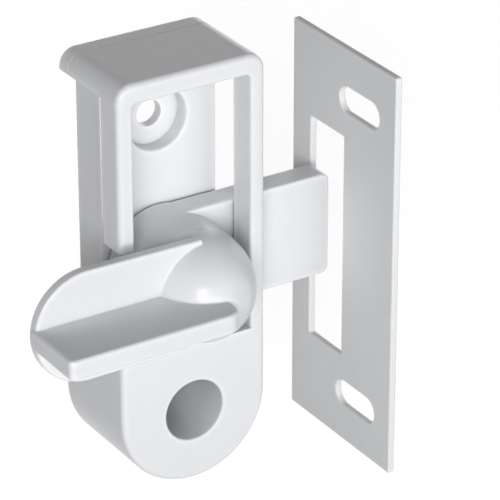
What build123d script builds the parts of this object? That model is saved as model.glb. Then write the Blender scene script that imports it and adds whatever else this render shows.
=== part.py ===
from build123d import *
import math
import os

# A surface-mounted storm door deadbolt with a swinging bolt, and the strike plate that it locks into.
# Millimetres. +X is the way the bolt points when locked, +Y goes into the door, and +Z is up.
# The origin is where the pivot axis meets the door's face, which is the plane Y = 0.

# Housing, one zinc casting: outer sizes
half_width = 13.6            # pivot axis to either side of the casting
top_height = 36.8            # pivot axis to the top of the casting
depth = 18.2                 # door's face to the front of the casting
screw_offset = 24.15         # pivot axis to each body screw
bottom_below_screw = 12.85   # lower body screw to the bottom of the round end
top_wall = 3.4
top_corner_radius = 2.9
edge_radius = 1.0            # front outer edges
window_corner_radius = 1.0
window_edge_radius = 0.5
crease_from_door = 2.9       # faint line round the top, left where the die halves meet
crease_width = 0.25
crease_depth = 0.3

# Housing: posts, pedestal and lower block
post_width = 2.75
post_depth = 5.2
left_post_end = 8.0          # the left post stops this far above the pivot axis
window_bottom = 12.0         # pivot axis down to the lower block's top
pedestal_inset = 2.9         # the pedestal stands back from the casting's sides
pedestal_wall = 2.3
pedestal_rib = 2.2           # side walls round the hollow behind the pedestal
pivot_block_half_height = 10.0
lower_wall = 2.4
lower_front_wall = 2.8
hollow_corner_radius = 1.5

# Body screws: clearance holes for 4.2 mm pan head screws
screw_hole_radius = 2.3
head_well_radius = 5.4
well_wall = 1.6
well_rim_radius = 0.35
upper_well_depth = 2.9       # counterbore in the pedestal
upper_seat_thickness = 1.85
lower_seat_thickness = 3.6

# Bolt
bolt_thickness = 4.7
bolt_half_height = 9.2
bolt_reach = 29.7            # pivot axis to the tip when locked
bolt_tip_radius = 1.4
bolt_edge = 0.35
bolt_front_clearance = 0.5   # bolt to the backs of the posts
hub_radius = 9.4             # hub, and the dome that carries on from it
hub_offset = 0.45            # hub and dome sit this far from the pivot axis, away from the bolt's tip
hub_edge = 0.1               # small round on both rims of the hub

# Thumb turn
turn_standoff = 3.1          # housing's front to the plate's back
plate_thickness = 1.7
plate_end_radius = 9.7       # free end
plate_root_half_height = 9.5 # where the plate runs into the dome
plate_root_from_axis = 1.3
plate_reach = 31.8           # pivot axis to the plate's free end
plate_edge_radius = 0.4
hub_standoff = 0.9           # housing's front to the hub's front, where the dome begins
dome_height = 11.4
fin_thickness = 3.4
fin_height = 11.8            # plate's front to the fin's edge
fin_overhang = 0.3           # fin's free end past the plate
fin_end_from_axis = 0.8      # the fin stops short of the pivot axis
fin_corner_radius = 2.6      # end near the pivot axis
fin_free_corner_radius = 0.9
fin_edge_radius = 0.55
junction_radius = 0.3        # inside corners between plate, dome and fin
tang_side = 8.0
tang_length = 6.0
tang_clearance = 0.1
tang_corner = 0.6

# Pivot: screw, bush and washers
shoulder_radius = 2.5
running_clearance = 0.05
bush_radius = 3.6
bush_flange_radius = 5.2
bush_gap = 0.4               # between the bolt and the pedestal, filled by the bush's flange
slide_gap = 0.03             # between flat faces that turn on each other
rear_pocket_radius = 5.3
rear_pocket_depth = 3.4
disc_spring_height = 0.5     # coned washer, as squeezed
disc_spring_sheet = 0.25
washer_thickness = 0.5
washer_radius = 4.4
washer_fit = 0.2
head_radius = 3.9
head_height = 1.5
drive_recess = 0.8           # depth of the cross recess
drive_length = 3.4
drive_width = 0.9
thread_radius = 1.75
thread_clearance = 0.25
thread_fit = 0.02
screw_tip_chamfer = 0.4
screw_tip_room = 0.6
head_edge_radius = 0.5
bush_fit = 0.01              # bush and stop pin in their holes
screw_end_in_tang = 4.6      # length of thread in the thumb turn

# Detent and stop, both acting on the back of the hub
track_radius = 7.0           # circle about the pivot axis that ball and pin sit on
ball_radius = 1.25
ball_pocket_clearance = 0.1
ball_pocket_floor = 2.0      # door's face to the bottom of the pocket
dimple_depth = 0.4
dimple_clearance = 0.06
ball_gap = 0.02              # ball to the back of the bolt when it rides between dimples
spring_wire_radius = 0.15
spring_mean_radius = 0.95
spring_turns = 4.5
spring_gap = 0.01            # spring's ends to the pocket's floor and to the ball
swing = 90.0                 # degrees from locked to unlocked
detent_angle = 90.0          # from +X towards +Z
stop_angle = 270.0
pin_radius = 1.0
pin_length = 5.0
pin_stands_out = 1.8
pin_chamfer = 0.2
groove_clearance = 0.15
groove_floor_gap = 0.2

# Strike plate, painted steel sheet
strike_gap = 0.6             # bolt's tip to the plate
strike_thickness = 1.2
strike_width = 30.0
strike_height = 72.4
strike_drop = 3.5            # the plate's middle hangs below the pivot axis
strike_front = 30.5          # door's face out to the plate's front edge
strike_corner_radius = 0.4
strike_edge = 0.2              # bevel round the plate, the opening and the slots
opening_width = 9.7
opening_height = 40.6
opening_centre = 10.85       # door's face out to the middle of the opening
opening_corner_radius = 0.3
slot_length = 11.4
slot_width = 4.6
slot_offset = 27.2           # plate's middle to each slot
slot_centre = 20.1           # door's face out to the middle of the slots

# Levels along Y, worked out from the sizes above
front = -depth
post_back = front + post_depth
bolt_front = post_back + bolt_front_clearance
bolt_back = bolt_front + bolt_thickness
pedestal_front = bolt_back + bush_gap
hub_front = front - hub_standoff
plate_back = front - turn_standoff
plate_front = plate_back - plate_thickness
fin_front = plate_front - fin_height
pocket_floor = -rear_pocket_depth
washer_front = pocket_floor + disc_spring_height
washer_back = washer_front + washer_thickness
bottom_z = -(screw_offset + bottom_below_screw)
window_top = top_height - top_wall
pedestal_half = half_width - pedestal_inset
tang_end = hub_front + tang_length
strike_left = bolt_reach + strike_gap


def cylinder_y(radius, y_from, y_to, x=0.0, z=0.0):
    """A cylinder along Y between two levels."""
    low, high = min(y_from, y_to), max(y_from, y_to)
    plane = Plane(origin=(x, high, z), x_dir=(1, 0, 0), z_dir=(0, -1, 0))
    return extrude(plane * Circle(radius), amount=high - low)


def block(x_from, x_to, y_from, y_to, z_from, z_to):
    """A box between pairs of levels."""
    size = (x_to - x_from, y_to - y_from, z_to - z_from)
    middle = ((x_from + x_to) / 2, (y_from + y_to) / 2, (z_from + z_to) / 2)
    return Pos(*middle) * Box(*size)


def face_y(sketch, y_from, y_to):
    """A sketch drawn in X and Z, given depth along Y between two levels."""
    low, high = min(y_from, y_to), max(y_from, y_to)
    plane = Plane(origin=(0, high, 0), x_dir=(1, 0, 0), z_dir=(0, -1, 0))
    return extrude(plane * sketch, amount=high - low)


def housing_outline(inset=0.0):
    """The casting's front outline: rounded top corners and a half-round bottom."""
    width = half_width - inset
    end_centre = bottom_z + half_width
    top = top_height - inset
    body = Pos(0, (top + end_centre) / 2) * Rectangle(2 * width, top - end_centre)
    corners = body.vertices().group_by(Axis.Y)[-1]
    body = fillet(corners, max(top_corner_radius - inset, 0.5))
    return body + Pos(0, end_centre) * Circle(width)


def rounded_block(x_half, y_from, y_to, z_from, z_to, radius):
    """A hollow's shape: a box with its four upright corners along Y rounded."""
    sketch = Pos(0, (z_from + z_to) / 2) * RectangleRounded(2 * x_half, z_to - z_from, radius)
    return face_y(sketch, y_from, y_to)


def housing():
    # The whole outline at full depth, with its front outer edges rounded.
    body = face_y(housing_outline(), 0, front)
    rim = body.faces().sort_by(Axis.Y)[0].edges()
    body = fillet(rim, edge_radius)

    # The window between the posts, from the front back to the pedestal.
    past = edge_radius
    window_half = half_width - post_width
    body -= block(-window_half, window_half, front - past, pedestal_front, -window_bottom, window_top)
    # The bolt's slot behind both posts, and the pedestal's inset on both sides.
    reach = half_width + past
    body -= block(-reach, reach, post_back, pedestal_front, -window_bottom, window_top)
    body -= block(-reach, -pedestal_half, pedestal_front, past, -window_bottom, window_top)
    body -= block(pedestal_half, reach, pedestal_front, past, -window_bottom, window_top)
    # The left post stops above the hub.
    body -= block(-reach, 0, front - past, post_back, -window_bottom, left_post_end)
    # Round the window's upper corners, and then its front edges.
    corners = [
        edge for edge in body.edges().filter_by(Axis.Y)
        if abs(edge.center().Z - window_top) < 0.01 and edge.center().Y < post_back
        and abs(abs(edge.center().X) - window_half) < 0.01
    ]
    body = fillet(corners, window_corner_radius)
    window_edges = [
        edge for edge in body.edges()
        if abs(edge.center().Y - front) < 0.01 and edge.center().Z > 0
        and abs(edge.center().X) < window_half + 0.01
    ]
    body = fillet(window_edges, window_edge_radius)

    # Hollow behind the pedestal, with the seat of the upper screw standing in it.
    hollow = rounded_block(pedestal_half - pedestal_rib, past, pedestal_front + pedestal_wall,
                           pivot_block_half_height, window_top, hollow_corner_radius)
    upper_floor = pedestal_front + upper_well_depth
    upper_boss = cylinder_y(head_well_radius + well_wall, upper_floor + upper_seat_thickness,
                            pedestal_front, z=screw_offset)
    body -= hollow - upper_boss
    body -= cylinder_y(head_well_radius, upper_floor, post_back, z=screw_offset)
    body -= cylinder_y(screw_hole_radius, past, pedestal_front, z=screw_offset)

    # Hollow behind the lower block, round the tube of the lower screw.
    end_centre = bottom_z + half_width
    inner_width = half_width - lower_wall
    inner = Pos(0, (-window_bottom - lower_wall + end_centre) / 2) * Rectangle(
        2 * inner_width, -window_bottom - lower_wall - end_centre)
    inner += Pos(0, end_centre) * Circle(inner_width)
    lower_hollow = face_y(inner, past, front + lower_front_wall)
    lower_tube = cylinder_y(head_well_radius + well_wall, 0, front, z=-screw_offset)
    body -= lower_hollow - lower_tube
    body -= cylinder_y(head_well_radius, -lower_seat_thickness, front - past, z=-screw_offset)
    body -= cylinder_y(screw_hole_radius, past, front, z=-screw_offset)
    # Soft mouths of both wells.
    mouths = [
        edge for edge in body.edges().filter_by(GeomType.CIRCLE)
        if abs(edge.radius - head_well_radius) < 0.01
        and min(abs(edge.center().Y - front), abs(edge.center().Y - pedestal_front)) < 0.01
    ]
    body = fillet(mouths, well_rim_radius)

    # Pivot: pocket for the screw's head from behind, and the bush's bore.
    body -= cylinder_y(rear_pocket_radius, past, pocket_floor)
    body -= cylinder_y(bush_radius, past, pedestal_front - past)
    # Detent pocket and stop pin's hole.
    ball_x, ball_z = on_track(detent_angle)
    body -= cylinder_y(ball_radius + ball_pocket_clearance, -ball_pocket_floor, pedestal_front - past,
                       ball_x, ball_z)
    pin_x, pin_z = on_track(stop_angle)
    body -= cylinder_y(pin_radius, pin_back(), pedestal_front - past, pin_x, pin_z)

    # Die line round the top.
    crease_y = -crease_from_door
    ring = housing_outline(-past) - housing_outline(crease_depth)
    ring_cut = face_y(ring, crease_y - crease_width / 2, crease_y + crease_width / 2)
    ring_cut = ring_cut & block(-reach - past, reach + past, -depth, 0, window_top, top_height + past + 1)
    body -= ring_cut
    return body


def on_track(angle):
    """A point of the circle that the ball and the stop pin share, as X and Z."""
    turn = math.radians(angle)
    return track_radius * math.cos(turn), track_radius * math.sin(turn)


def pin_back():
    """Level of the stop pin's hidden end."""
    return pedestal_front - pin_stands_out + pin_length


def ball_centre_y():
    return bolt_back + ball_gap + ball_radius


def bolt():
    # Flat bar with rounded tip corners, one casting with the round hub.
    bar = Pos(bolt_reach / 2, 0) * Rectangle(bolt_reach, 2 * bolt_half_height)
    bar = fillet(bar.vertices().group_by(Axis.X)[-1], bolt_tip_radius)
    body = face_y(bar, bolt_back, bolt_front)
    rims = [face.edges() for face in (body.faces().sort_by(Axis.Y)[0], body.faces().sort_by(Axis.Y)[-1])]
    outer = [edge for rim in rims for edge in rim if edge.center().X > bolt_edge]
    body = fillet(outer, bolt_edge)
    hub = cylinder_y(hub_radius, bolt_back, hub_front, x=-hub_offset)
    hub = fillet(hub.edges().filter_by(GeomType.CIRCLE), hub_edge)
    body += hub
    # Clearance hole for the screw, then the square socket for the thumb turn's tang.
    body -= cylinder_y(thread_radius + thread_clearance, bolt_back + 1, hub_front)
    socket = Rectangle(*[tang_side + 2 * tang_clearance] * 2)
    socket = fillet(socket.vertices(), tang_corner)
    body -= face_y(socket, tang_end + tang_clearance, hub_front - 1)
    # Groove that runs over the stop pin, and the two dimples for the ball.
    body -= stop_groove()
    for angle in (detent_angle, detent_angle - swing):
        body -= dimple(angle)
    return body


def stop_groove():
    """Arc groove in the hub's back: the pin lies at one end when locked and at the other when unlocked."""
    path = CenterArc((0, 0), track_radius, stop_angle - swing, swing)
    slot = SlotArc(path, 2 * (pin_radius + groove_clearance))
    floor = pedestal_front - pin_stands_out - groove_floor_gap
    return face_y(slot, bolt_back + 1, floor)


def dimple(angle):
    x, z = on_track(angle)
    return Pos(x, ball_centre_y() - dimple_depth, z) * Sphere(ball_radius + dimple_clearance)


def thumb_turn():
    # Plate: a round free end, and straight sides that run into the dome.
    free_end = Pos(plate_end_radius - plate_reach, 0) * Circle(plate_end_radius)
    root_x = -plate_root_from_axis
    root = Edge.make_line((root_x, -plate_root_half_height), (root_x, plate_root_half_height))
    body = face_y(make_hull([root, free_end.edge()]), plate_back, plate_front)
    rim = body.faces().sort_by(Axis.Y)[0].edges().sort_by(Axis.X)
    body = fillet(rim[:-1], plate_edge_radius)
    body += dome()
    dome_foot = [
        edge for edge in body.edges().filter_by(GeomType.BSPLINE)
        if abs(edge.center().Y - plate_front) < 0.01
    ]
    body = fillet(dome_foot, junction_radius)
    body += fin()
    fin_foot = [
        edge for edge in body.edges().filter_by(Axis.X)
        if abs(edge.center().Y - plate_front) < 0.01 and abs(abs(edge.center().Z) - fin_thickness / 2) < 0.01
    ]
    body = fillet(fin_foot, junction_radius)
    # Square tang that turns the bolt, bored for the pivot screw's thread.
    tang = fillet(Rectangle(tang_side, tang_side).vertices(), tang_corner)
    body += face_y(tang, tang_end, plate_back)
    body -= cylinder_y(thread_radius + thread_fit, tang_end + 1, screw_tip() - screw_tip_room)
    return body


def dome():
    """Half an ellipsoid, which carries on from the bolt's round hub."""
    steps = 6
    points = []
    for step in range(steps + 1):
        turn = math.pi / 2 * step / steps
        points.append((hub_radius * math.cos(turn), dome_height * math.sin(turn)))
    curve = Spline(*points, tangents=((0, 1), (-1, 0)))
    outline = curve + Polyline((0, dome_height), (0, 0), (hub_radius, 0))
    plane = Plane(origin=(0, hub_front, 0), x_dir=(1, 0, 0), z_dir=(0, 0, -1))
    return Pos(-hub_offset, 0, 0) * revolve(plane * make_face(outline), Axis.Y, 360)


def fin():
    """The straight finger grip across the plate and the dome."""
    root = plate_front + plate_thickness / 2
    side = block(-plate_reach - fin_overhang, -fin_end_from_axis, fin_front, root,
                 -fin_thickness / 2, fin_thickness / 2)
    front_corners = side.edges().filter_by(Axis.Z).group_by(Axis.Y)[0].sort_by(Axis.X)
    side = fillet(front_corners[0], fin_free_corner_radius)
    axis_corner = side.edges().filter_by(Axis.Z).group_by(Axis.Y)[0].sort_by(Axis.X)[-1]
    side = fillet(axis_corner, fin_corner_radius)
    flats = side.faces().sort_by(Axis.Z)
    rims = flats[0].edges() + flats[-1].edges()
    return fillet([edge for edge in rims if edge.center().Y < root - fin_edge_radius], fin_edge_radius)


def screw_tip():
    """Level of the pivot screw's far end."""
    return tang_end - screw_end_in_tang


def pivot_screw():
    head = cylinder_y(head_radius, washer_back + head_height, washer_back)
    head = fillet(head.edges().filter_by(GeomType.CIRCLE).sort_by(Axis.Y)[-1], head_edge_radius)
    for wide, tall in ((drive_length, drive_width), (drive_width, drive_length)):
        head -= block(-wide / 2, wide / 2, washer_back + head_height - drive_recess, washer_back + head_height + 1,
                      -tall / 2, tall / 2)
    body = head + cylinder_y(shoulder_radius, washer_back, bolt_back)
    thread = cylinder_y(thread_radius, bolt_back, screw_tip())
    thread = chamfer(thread.edges().filter_by(GeomType.CIRCLE).sort_by(Axis.Y)[0], screw_tip_chamfer)
    return body + thread


def pivot_bush():
    bore = shoulder_radius + running_clearance
    body = cylinder_y(bush_radius - bush_fit, pocket_floor, pedestal_front)
    body += cylinder_y(bush_flange_radius, pedestal_front, bolt_back + slide_gap)
    return body - cylinder_y(bore, pocket_floor + 1, bolt_back - 1)


def disc_spring():
    """Coned ring: its outer rim rests in the pocket and its inner rim presses on the washer."""
    inner = shoulder_radius + washer_fit
    low = pocket_floor + slide_gap
    high = washer_front - slide_gap
    corners = [(inner, high), (inner, high - disc_spring_sheet), (washer_radius, low),
               (washer_radius, low + disc_spring_sheet)]
    return revolve(make_face(Polyline(*corners, close=True)), Axis.Y, 360)


def screw_washer():
    body = cylinder_y(washer_radius, washer_front, washer_back)
    return body - cylinder_y(shoulder_radius + washer_fit, washer_front - 1, washer_back + 1)


def detent_ball():
    x, z = on_track(detent_angle)
    return Pos(x, ball_centre_y(), z) * Sphere(ball_radius)


def detent_spring():
    """Open coil behind the ball, one unbroken wire on pairs of tangent arcs for each quarter turn."""
    x, z = on_track(detent_angle)
    start = -ball_pocket_floor - spring_wire_radius - spring_gap
    reach = ball_radius + spring_wire_radius + spring_gap
    end = ball_centre_y() + math.sqrt(reach ** 2 - spring_mean_radius ** 2)
    quarters = round(4 * spring_turns)
    rise = (end - start) / quarters

    def at(quarter):
        turn = quarter * math.pi / 2
        return Vector(x + spring_mean_radius * math.cos(turn), start + rise * quarter,
                      z + spring_mean_radius * math.sin(turn))

    def along(quarter):
        turn = quarter * math.pi / 2
        speed = spring_mean_radius * math.pi / 2
        return Vector(-speed * math.sin(turn), rise, speed * math.cos(turn)).normalized()

    arcs = []
    for quarter in range(quarters):
        arcs += biarc(at(quarter), along(quarter), at(quarter + 1), along(quarter + 1))
    path = Wire(arcs)
    section = Plane(origin=at(0), z_dir=along(0)) * Circle(spring_wire_radius)
    count = 36
    gap = min((at(4 * a / count) - at(4 * a / count + 4)).length for a in range(count)) - 2 * spring_wire_radius
    print(f"detent spring: least gap between turns {gap:.2f} mm")
    return sweep(section, path=path)


def biarc(start, start_way, end, end_way):
    """Two arcs that leave start and reach end in the given directions, and meet smoothly between."""
    chord = end - start
    sum_way = start_way + end_way
    spread = 2 * (1 - start_way.dot(end_way))
    along_sum = chord.dot(sum_way)
    arm = (-along_sum + math.sqrt(along_sum ** 2 + spread * chord.dot(chord))) / spread
    meet = (start + end + (start_way - end_way) * arm) * 0.5
    first = Edge.make_tangent_arc(start, start_way, meet)
    return [first, Edge.make_tangent_arc(meet, first % 1, end)]


def stop_pin():
    x, z = on_track(stop_angle)
    pin = cylinder_y(pin_radius - bush_fit, pin_back(), pedestal_front - pin_stands_out, x, z)
    return chamfer(pin.edges().filter_by(GeomType.CIRCLE), pin_chamfer)


def strike_plate():
    plane = Plane(origin=(strike_left, 0, -strike_drop), x_dir=(0, 1, 0), z_dir=(1, 0, 0))
    sheet = Pos(strike_width / 2 - strike_front, 0) * RectangleRounded(strike_width, strike_height,
                                                                       strike_corner_radius)
    sheet -= Pos(-opening_centre, 0) * RectangleRounded(opening_width, opening_height, opening_corner_radius)
    for side in (1, -1):
        sheet -= Pos(-slot_centre, side * slot_offset) * SlotOverall(slot_length, slot_width)
    body = extrude(plane * sheet, amount=strike_thickness)
    faces = body.faces().sort_by(Axis.X)
    rims = faces[0].edges() + faces[-1].edges()
    return chamfer(rims, strike_edge)


nodes = {
    "housing": housing,
    "bolt": bolt,
    "thumb_turn": thumb_turn,
    "pivot_screw": pivot_screw,
    "pivot_bush": pivot_bush,
    "disc_spring": disc_spring,
    "screw_washer": screw_washer,
    "detent_ball": detent_ball,
    "detent_spring": detent_spring,
    "stop_pin": stop_pin,
    "strike_plate": strike_plate,
}

os.makedirs("parts", exist_ok=True)
for name, make in nodes.items():
    solid = make()
    solid.label = name
    export_step(solid, f"parts/{name}.step")
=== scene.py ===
# %% [markdown]
# # A storm door deadbolt
#
# The lock is screwed to the inside of a storm door. A white casting carries a flat bolt on a pivot, and a
# thumb turn with a round knob swings the bolt sideways into a slotted plate on the door's frame.
#
# Every rigid piece arrives as an exact solid, so this script doesn't model them again. It gives each one
# its real finish, builds the room they stand in, and sets the lights and the camera.
#
# All lengths are in metres. +X is the way the bolt points, +Y goes into the door and +Z is up. The origin
# is where the pivot axis meets the door's face.

# %% Load the solids
import math

import bpy
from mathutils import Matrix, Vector


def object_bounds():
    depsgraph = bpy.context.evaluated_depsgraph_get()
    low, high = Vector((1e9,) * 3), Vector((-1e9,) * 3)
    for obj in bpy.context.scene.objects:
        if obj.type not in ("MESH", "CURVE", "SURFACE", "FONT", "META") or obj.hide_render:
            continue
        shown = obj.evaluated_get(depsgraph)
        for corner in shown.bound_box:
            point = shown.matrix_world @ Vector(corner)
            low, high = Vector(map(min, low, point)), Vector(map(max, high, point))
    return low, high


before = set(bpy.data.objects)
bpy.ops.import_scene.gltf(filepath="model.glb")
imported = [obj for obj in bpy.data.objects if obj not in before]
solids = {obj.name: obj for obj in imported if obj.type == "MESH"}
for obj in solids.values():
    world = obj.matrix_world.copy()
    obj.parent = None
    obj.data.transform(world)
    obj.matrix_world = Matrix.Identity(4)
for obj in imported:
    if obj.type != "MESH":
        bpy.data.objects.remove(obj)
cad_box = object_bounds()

print("solids:", ", ".join(sorted(solids)))

# %% [markdown]
# ## The camera
#
# The photograph is taken with a long lens from the front left, a little above the lock. A long lens keeps
# the upright edges almost parallel. The camera is placed by the two angles it looks along and its distance
# from the point it looks at, which is easier to reason about than a bare position.

# %% Camera
MM = 0.001
SENSOR_WIDTH_MM = 36.0
IMAGE_PIXELS = 500
FOCAL_PIXELS = 3359.6
AIM = Vector((14.55, -12.0, -1.24)) * MM
AIM_DISTANCE = 552.8 * MM
CAMERA_AZIMUTH = math.radians(32.21)
CAMERA_PITCH = math.radians(26.82)

look = Vector((
    math.sin(CAMERA_AZIMUTH) * math.cos(CAMERA_PITCH),
    math.cos(CAMERA_AZIMUTH) * math.cos(CAMERA_PITCH),
    -math.sin(CAMERA_PITCH),
))
camera_data = bpy.data.cameras.new("camera")
camera_data.sensor_width = SENSOR_WIDTH_MM
camera_data.lens = FOCAL_PIXELS / IMAGE_PIXELS * SENSOR_WIDTH_MM
camera_data.clip_start = 0.01
camera = bpy.data.objects.new("camera", camera_data)
camera.location = AIM - AIM_DISTANCE * look
camera.rotation_euler = look.to_track_quat("-Z", "Y").to_euler()
bpy.context.scene.collection.objects.link(camera)
bpy.context.scene.camera = camera
print(f"camera: {camera_data.lens:.1f} mm lens, {AIM_DISTANCE / MM:.0f} mm away")

# %% [markdown]
# ## Small helpers for materials
#
# A material is a tree of nodes. A few helpers keep the trees readable: they add a node and fill in its
# inputs, start a shared group with named sockets and place it, and start a material and give it to pieces.
# The last one tells what the eye sees from what only carries light, which the white background needs.

# %% Node helpers
def add_node(tree, kind, inputs=None, **settings):
    """Adds a node, and sets or links its inputs by name or number."""
    made = tree.nodes.new(kind)
    for name, value in settings.items():
        setattr(made, name, value)
    for socket, value in (inputs or {}).items():
        if isinstance(value, bpy.types.NodeSocket):
            tree.links.new(value, made.inputs[socket])
        else:
            made.inputs[socket].default_value = value
    return made


def new_group(name, inputs, outputs):
    """Starts a shader group. inputs maps each number's name to its usual value."""
    group = bpy.data.node_groups.new(name, "ShaderNodeTree")
    for label, value in inputs.items():
        socket = group.interface.new_socket(label, in_out="INPUT", socket_type="NodeSocketFloat")
        socket.default_value = value
    for label in outputs:
        kind = "NodeSocketVector" if label.endswith("Normal") else "NodeSocketFloat"
        group.interface.new_socket(label, in_out="OUTPUT", socket_type=kind)
    return group, group.nodes.new("NodeGroupInput"), group.nodes.new("NodeGroupOutput")


def use_group(tree, group, **values):
    """Places a group in a material, with its own values."""
    made = add_node(tree, "ShaderNodeGroup", node_tree=group)
    for label, value in values.items():
        made.inputs[label.replace("_", " ")].default_value = value
    return made


def new_material(name):
    material = bpy.data.materials.new(name)
    material.use_nodes = True
    tree = material.node_tree
    return material, tree, tree.nodes["Principled BSDF"]


def dress(material, *names):
    """Gives solids a material."""
    for name in names:
        slots = solids[name].data.materials
        slots.clear()
        slots.append(material)
    print(f"{material.name}:", ", ".join(names))


def seen_by_eye(tree):
    """1 for rays from the camera, a reflection or glass, and 0 for rays that only carry light."""
    ray = add_node(tree, "ShaderNodeLightPath").outputs
    seen = ray["Is Camera Ray"]
    for kind in ("Is Glossy Ray", "Is Transmission Ray"):
        seen = add_node(tree, "ShaderNodeMath", {0: seen, 1: ray[kind]}, operation="MAXIMUM").outputs[0]
    return seen


print("helpers ready")

# %% [markdown]
# ## What powder coat looks like
#
# Powder coat is baked on as dust, so it never levels out completely. Up close it has a fine dimpled skin
# called orange peel, it is a touch thicker and darker in patches, and its gloss wanders. Two fine noises make
# the skin and its grain, and a broad one makes the patches. All read Object coordinates, so the pattern
# stays put when a piece turns.

# %% Shared group: orange peel
GRAIN_IN_HEIGHT = 0.4
SKIN_IN_GLOSS = 0.5
peel, peel_in, peel_out = new_group(
    "orange peel",
    {"Peel Scale": 1500.0, "Grain Scale": 5200.0, "Patch Scale": 70.0},
    ("Height", "Patches", "Gloss"),
)
place = add_node(peel, "ShaderNodeTexCoord").outputs["Object"]
skin = add_node(peel, "ShaderNodeTexNoise", {
    "Vector": place, "Scale": peel_in.outputs["Peel Scale"], "Detail": 1.5, "Roughness": 0.45})
grain = add_node(peel, "ShaderNodeTexNoise", {
    "Vector": place, "Scale": peel_in.outputs["Grain Scale"], "Detail": 2.0, "Roughness": 0.55})
patches = add_node(peel, "ShaderNodeTexNoise", {
    "Vector": place, "Scale": peel_in.outputs["Patch Scale"], "Detail": 2.5, "Roughness": 0.5})
height = add_node(peel, "ShaderNodeMath", {
    0: grain.outputs["Fac"], 1: GRAIN_IN_HEIGHT, 2: skin.outputs["Fac"]}, operation="MULTIPLY_ADD")
gloss = add_node(peel, "ShaderNodeMath", {
    0: skin.outputs["Fac"], 1: SKIN_IN_GLOSS, 2: patches.outputs["Fac"]}, operation="MULTIPLY_ADD")
peel.links.new(height.outputs[0], peel_out.inputs["Height"])
peel.links.new(patches.outputs["Fac"], peel_out.inputs["Patches"])
peel.links.new(gloss.outputs[0], peel_out.inputs["Gloss"])
print("group:", peel.name)

# %% [markdown]
# ## Edges, crevices and wells
#
# Edges are painted a little brighter than the flat faces: a painted highlight, where light catches the
# rounded paint. Narrow gaps are painted darker, as painted shade, and deep wells are painted greyer, also as
# painted shade. Ambient occlusion finds all three: traced into the body it is low near a convex edge, traced
# outwards over a short way it is low in a crevice, and over a long way it is low in a well. Paint also
# rounds every sharp edge a little, which the Bevel node does with the normal alone.

# %% Shared group: edges, crevices and wells
MASK_SAMPLES = 6
places, places_in, places_out = new_group(
    "edges crevices wells",
    {"Round Radius": 0.00025, "Edge Reach": 0.0016, "Crevice Reach": 0.0012, "Well Reach": 0.014},
    ("Edge", "Crevice", "Well", "Soft Normal"),
)


def occlusion_mask(reach, start, end, inside=False):
    """1 where ambient occlusion has gone from start down to end, over the given reach."""
    sky = add_node(places, "ShaderNodeAmbientOcclusion", {"Distance": places_in.outputs[reach]},
                   samples=MASK_SAMPLES, inside=inside)
    return add_node(places, "ShaderNodeMapRange", {
        "Value": sky.outputs["AO"], "From Min": start, "From Max": end, "To Min": 0.0, "To Max": 1.0})


soft_normal = add_node(places, "ShaderNodeBevel", {"Radius": places_in.outputs["Round Radius"]},
                       samples=MASK_SAMPLES)
masks = {
    "Edge": occlusion_mask("Edge Reach", 0.8, 0.5, inside=True),
    "Crevice": occlusion_mask("Crevice Reach", 0.55, 0.2),
    "Well": occlusion_mask("Well Reach", 0.42, 0.1),
}
for label, mask in masks.items():
    places.links.new(mask.outputs["Result"], places_out.inputs[label])
places.links.new(soft_normal.outputs["Normal"], places_out.inputs["Soft Normal"])
print("group:", places.name)

# %% [markdown]
# ## White powder coat
#
# The casting, the bolt and the thumb turn are one white, and the strike plate is the same paint on rolled
# sheet, which is flatter and duller. One function makes both. Tone is mixed in four small steps: patches,
# then painted shade in the wells, a painted highlight on the edges, and painted shade in the crevices. The
# edge mask reaches less far into the sheet, which would otherwise be all edge. The roughness stays above
# 0.27: below that the denoiser takes the paint for a mirror, and the glossy patches come out as specks. The
# paint's clear skin is a weak sharp coat on top, which makes the small bright spot on the dome.

# %% Powder coat materials
DARKER_PATCH = (0.93, 0.93, 0.93)
# Painted shade for the deep wells.
PAINTED_WELL_SHADE = (0.50, 0.51, 0.52)
# Painted highlight for the edges.
PAINTED_EDGE_HIGHLIGHT = (1.14, 1.14, 1.14)
# Painted shade for the crevices.
PAINTED_CREVICE_SHADE = (0.42, 0.41, 0.39)
GLOSS_RANGE = (0.4, 1.1)
ROUGHNESS_SPREAD = (-0.02, 0.05)
PEEL_STRENGTH = 0.5
SPECULAR_LEVEL = 0.30
CLEAR_SKIN_ROUGHNESS = 0.14


def tint(tree, factor, under, over, amount):
    """Lays one colour over another by a mask, and returns the colour socket."""
    strength = add_node(tree, "ShaderNodeMath", {0: factor, 1: amount}, operation="MULTIPLY", use_clamp=True)
    mix = add_node(tree, "ShaderNodeMix", {0: strength.outputs[0]}, data_type="RGBA")
    for number, colour in ((6, under), (7, over)):
        if isinstance(colour, bpy.types.NodeSocket):
            tree.links.new(colour, mix.inputs[number])
        else:
            mix.inputs[number].default_value = (*colour, 1.0)
    return mix.outputs[2]


def wander(tree, noise, noise_range, roughness, spread):
    """Lets roughness follow a noise. The ends of the noise's range give the two ends of the spread."""
    return add_node(tree, "ShaderNodeMapRange", {
        "Value": noise, "From Min": noise_range[0], "From Max": noise_range[1],
        "To Min": roughness + spread[0], "To Max": roughness + spread[1]}).outputs["Result"]


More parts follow.
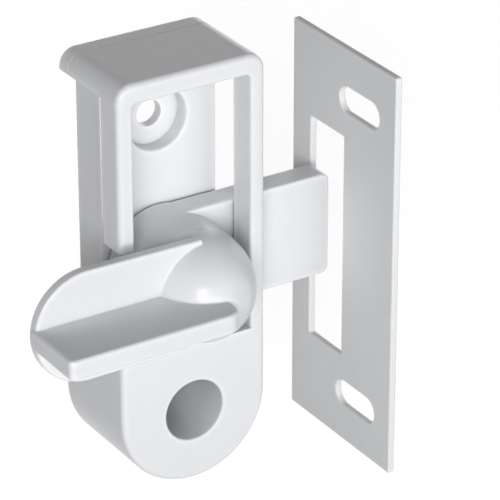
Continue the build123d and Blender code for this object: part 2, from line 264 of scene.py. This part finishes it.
def powder_coat(name, white, roughness, peel_depth, peel_scale, edge_reach, gloss):
    """White paint. Lengths are in metres, and gloss is the weight of the clear skin."""
    material, tree, surface = new_material(name)
    skin = use_group(tree, peel, Peel_Scale=peel_scale)
    where = use_group(tree, places, Edge_Reach=edge_reach)
    colour = white
    # Patches are the paint's own tone. Wells and crevices get painted shade, and edges a painted highlight.
    for mask, factors, amount in (
            (skin.outputs["Patches"], DARKER_PATCH, 0.35),
            (where.outputs["Well"], PAINTED_WELL_SHADE, 0.7),
            (where.outputs["Edge"], PAINTED_EDGE_HIGHLIGHT, 1.0),
            (where.outputs["Crevice"], PAINTED_CREVICE_SHADE, 0.6)):
        over = tuple(factor * part for factor, part in zip(factors, white))
        colour = tint(tree, mask, colour, over, amount)
    tree.links.new(colour, surface.inputs["Base Color"])
    sheen = wander(tree, skin.outputs["Gloss"], GLOSS_RANGE, roughness, ROUGHNESS_SPREAD)
    tree.links.new(sheen, surface.inputs["Roughness"])
    bump = add_node(tree, "ShaderNodeBump", {
        "Strength": PEEL_STRENGTH, "Distance": peel_depth, "Height": skin.outputs["Height"],
        "Normal": where.outputs["Soft Normal"]})
    tree.links.new(bump.outputs["Normal"], surface.inputs["Normal"])
    surface.inputs["Specular IOR Level"].default_value = SPECULAR_LEVEL
    surface.inputs["Coat Weight"].default_value = gloss
    surface.inputs["Coat Roughness"].default_value = CLEAR_SKIN_ROUGHNESS
    return material


casting_coat = powder_coat(
    "white coat on casting", white=(0.79, 0.80, 0.82), roughness=0.30, peel_depth=0.00006,
    peel_scale=850.0, edge_reach=0.0016, gloss=0.2)
sheet_coat = powder_coat(
    "white coat on sheet", white=(0.80, 0.81, 0.82), roughness=0.42, peel_depth=0.00003,
    peel_scale=1300.0, edge_reach=0.0009, gloss=0.05)
dress(casting_coat, "housing", "bolt", "thumb_turn")
dress(sheet_coat, "strike_plate")

# %% [markdown]
# ## Small steel pieces
#
# The pivot screw and its washer are turned and zinc plated, and the springs, the pin and the ball are bare. A
# lathe leaves fine rings about the axis, so the bump follows the distance from it. The rings are a wave of
# that distance, and a little noise breaks them up. The pin and the ball sit on the track of the stop and the
# detent, 7 mm from the pivot. The ball is polished, so its rings are all but gone.

# %% Turned and plated steel
SPECKLE_SCALE = 900.0
SPECKLE_RANGE = (0.3, 0.7)
STEEL_SPREAD = (-0.06, 0.08)
RING_WOBBLE = 1.5
RING_STRENGTH = 0.3
STEEL_ROUND_RADIUS = 0.0002
TRACK_RADIUS = 7.0 * MM


def turned_steel(name, colour, roughness, ring_spacing, centre_z=0.0, ring_depth=0.00002):
    """Steel with lathe rings. Their axis runs along Y, through X = 0 and the height centre_z."""
    material, tree, surface = new_material(name)
    place = add_node(tree, "ShaderNodeTexCoord").outputs["Object"]
    from_axis = add_node(tree, "ShaderNodeMapping", {
        "Vector": place, "Location": (0.0, 0.0, -centre_z), "Scale": (1.0, 0.0, 1.0)})
    radius = add_node(tree, "ShaderNodeVectorMath", {0: from_axis.outputs["Vector"]}, operation="LENGTH")
    speckle = add_node(tree, "ShaderNodeTexNoise", {
        "Vector": place, "Scale": SPECKLE_SCALE, "Detail": 3.0}).outputs["Fac"]
    angle = add_node(tree, "ShaderNodeMath", {0: radius.outputs["Value"], 1: 2 * math.pi / ring_spacing},
                     operation="MULTIPLY")
    wobble = add_node(tree, "ShaderNodeMath", {0: speckle, 1: RING_WOBBLE, 2: angle.outputs[0]},
                      operation="MULTIPLY_ADD")
    rings = add_node(tree, "ShaderNodeMath", {0: wobble.outputs[0]}, operation="SINE")
    bump = add_node(tree, "ShaderNodeBump", {
        "Strength": RING_STRENGTH, "Distance": ring_depth, "Height": rings.outputs[0]})
    tree.links.new(bump.outputs["Normal"], surface.inputs["Normal"])
    where = use_group(tree, places, Round_Radius=STEEL_ROUND_RADIUS)
    dull = tuple(0.72 * part for part in colour)
    # Crevices are painted darker: painted shade.
    crevice_shade_tone = tuple(0.4 * part for part in colour)
    shade = tint(tree, speckle, colour, dull, 0.5)
    shade = tint(tree, where.outputs["Crevice"], shade, crevice_shade_tone, 0.6)
    tree.links.new(shade, surface.inputs["Base Color"])
    tree.links.new(wander(tree, speckle, SPECKLE_RANGE, roughness, STEEL_SPREAD), surface.inputs["Roughness"])
    surface.inputs["Metallic"].default_value = 1.0
    return material


plated_steel = turned_steel("zinc plated steel", (0.62, 0.63, 0.62), roughness=0.34, ring_spacing=0.00018)
spring_steel = turned_steel("oiled spring steel", (0.26, 0.26, 0.27), roughness=0.36, ring_spacing=0.00009)
pin_steel = turned_steel(
    "ground pin steel", (0.55, 0.55, 0.56), roughness=0.24, ring_spacing=0.00007, centre_z=-TRACK_RADIUS)
ball_steel = turned_steel(
    "polished ball steel", (0.70, 0.70, 0.71), roughness=0.12, ring_spacing=0.0004, centre_z=TRACK_RADIUS,
    ring_depth=0.0000005)
dress(plated_steel, "pivot_screw", "screw_washer")
dress(spring_steel, "disc_spring", "detent_spring")
dress(pin_steel, "stop_pin")
dress(ball_steel, "detent_ball")

# %% [markdown]
# The bush is moulded nylon. It is milky, so a little light goes in and comes out again, and the mould
# leaves a fine even texture.

# %% Nylon
nylon, tree, surface = new_material("natural nylon")
skin = use_group(tree, peel, Peel_Scale=2600.0)
colour = tint(tree, skin.outputs["Patches"], (0.78, 0.76, 0.68), (0.70, 0.67, 0.58), 0.6)
tree.links.new(colour, surface.inputs["Base Color"])
bump = add_node(tree, "ShaderNodeBump", {
    "Strength": 0.3, "Distance": 0.00003, "Height": skin.outputs["Height"]})
tree.links.new(bump.outputs["Normal"], surface.inputs["Normal"])
surface.inputs["Roughness"].default_value = 0.45
surface.inputs["Subsurface Weight"].default_value = 0.2
surface.inputs["Subsurface Scale"].default_value = 0.0008
dress(nylon, "pivot_bush")

# %% [markdown]
# ## The studio
#
# The lock stands free on a pale sweep: a floor that curves up into a back wall, so no horizon shows. The
# sweep starts as a plane. Its back edge is extruded upwards, the fold is bevelled into a curve, and the
# faces are shaded smooth.

# %% Floor and backdrop
FLOOR_HALF = 0.9
FLOOR_DROP = 0.02
BACK_WALL_HEIGHT = 1.2
SWEEP_RADIUS = 0.3
NEARLY = 0.001


def select_edges(mesh, wanted):
    """Selects the edges whose two ends both pass the test."""
    for edge in mesh.edges:
        edge.select = all(wanted(mesh.vertices[number].co) for number in edge.vertices)


bpy.ops.object.select_all(action="DESELECT")
floor_level = cad_box[0][2] - FLOOR_DROP
bpy.ops.mesh.primitive_plane_add(size=2 * FLOOR_HALF, location=(0.0, 0.0, floor_level))
sweep = bpy.context.active_object
sweep.name = "studio_sweep"
bpy.ops.object.mode_set(mode="EDIT")
bpy.ops.mesh.select_all(action="DESELECT")
bpy.ops.object.mode_set(mode="OBJECT")
select_edges(sweep.data, lambda end: end.y > FLOOR_HALF - NEARLY)
bpy.ops.object.mode_set(mode="EDIT")
bpy.ops.mesh.select_mode(type="EDGE")
bpy.ops.mesh.extrude_region_move(TRANSFORM_OT_translate={"value": (0.0, 0.0, BACK_WALL_HEIGHT)})
bpy.ops.mesh.select_all(action="DESELECT")
bpy.ops.object.mode_set(mode="OBJECT")
select_edges(sweep.data, lambda end: end.y > FLOOR_HALF - NEARLY and abs(end.z) < NEARLY)
bpy.ops.object.mode_set(mode="EDIT")
bpy.ops.mesh.bevel(offset=SWEEP_RADIUS, segments=16, affect="EDGES")
bpy.ops.object.mode_set(mode="OBJECT")
bpy.ops.object.shade_smooth()
bpy.ops.object.transform_apply(location=True, rotation=True, scale=True)
print("sweep faces:", len(sweep.data.polygons))

# %% [markdown]
# The photograph's background is plain white. Turning the lamps up until the sweep is white would bleach
# the paint, so the sweep shines a little by itself, only for rays that come straight from the camera or
# by way of a reflection. It still darkens where the lock shades it.

# %% Paper white
WHITE = (1.0, 1.0, 1.0, 1.0)
PAPER_GREY = (0.8, 0.8, 0.8, 1.0)
PAPER_GLOW = 0.8

paper = bpy.data.materials.new("studio paper")
paper.use_nodes = True
tree = paper.node_tree
tree.nodes.clear()
matte = add_node(tree, "ShaderNodeBsdfDiffuse", {"Color": PAPER_GREY})
glow = add_node(tree, "ShaderNodeEmission", {"Color": WHITE, "Strength": PAPER_GLOW})
both = add_node(tree, "ShaderNodeAddShader", {0: matte.outputs[0], 1: glow.outputs[0]})
pick = add_node(tree, "ShaderNodeMixShader", {0: seen_by_eye(tree), 1: matte.outputs[0], 2: both.outputs[0]})
add_node(tree, "ShaderNodeOutputMaterial", {"Surface": pick.outputs[0]})
sweep.data.materials.append(paper)
print("glow of", paper.name, PAPER_GLOW)

# %% [markdown]
# ## Light
#
# The photograph's light comes from the front: the faces toward us are brightest, the left sides are about
# half as bright, and the top is darker still. A wide low strip in front does most of that. A smaller box to
# the left, near the camera's own side, lights the left faces and makes the bright spot on the dome. A broad
# one behind on the right lights the faces that the photograph doesn't show. The room adds a trace of even
# light, though the camera and the reflections see it plain white.

# %% Lamps and room
ROOM_LIGHT = 0.055
ROOM_SEEN = 1.0
LAMPS = {
    "front strip": dict(azimuth=-3.0, elevation=1.0, distance=1.1, width=1.2, height=0.3, watts=7.2),
    "left box": dict(azimuth=35.0, elevation=17.0, distance=0.9, width=0.34, height=0.34, watts=4.2),
    "rear fill": dict(azimuth=-125.0, elevation=1.0, distance=0.8, width=1.3, height=0.6, watts=2.3),
}


def soft_lamp(name, azimuth, elevation, distance, width, height, watts):
    """An area lamp that shines on the lock. Azimuth 0 is straight in front, and grows to the left."""
    turn, rise = math.radians(azimuth), math.radians(elevation)
    away = Vector((-math.sin(turn) * math.cos(rise), -math.cos(turn) * math.cos(rise), math.sin(rise)))
    data = bpy.data.lights.new(name, "AREA")
    data.shape = "RECTANGLE"
    data.size = width
    data.size_y = height
    data.energy = watts
    lamp = bpy.data.objects.new(name, data)
    lamp.location = AIM + distance * away
    lamp.rotation_euler = (-away).to_track_quat("-Z", "Y").to_euler()
    bpy.context.scene.collection.objects.link(lamp)


for name, values in LAMPS.items():
    soft_lamp(name, **values)

world = bpy.data.worlds.new("room")
bpy.context.scene.world = world
world.use_nodes = True
tree = world.node_tree
backdrop = tree.nodes["Background"]
strength = add_node(tree, "ShaderNodeMapRange", {
    "Value": seen_by_eye(tree), "To Min": ROOM_LIGHT, "To Max": ROOM_SEEN})
tree.links.new(strength.outputs["Result"], backdrop.inputs["Strength"])
backdrop.inputs["Color"].default_value = WHITE
bpy.context.scene.view_settings.view_transform = "Standard"
print("lamps:", ", ".join(LAMPS))

# %% [markdown]
# ## Finish
#
# The visual model must stay the size of the solids.

# %% Finish
print("finished")
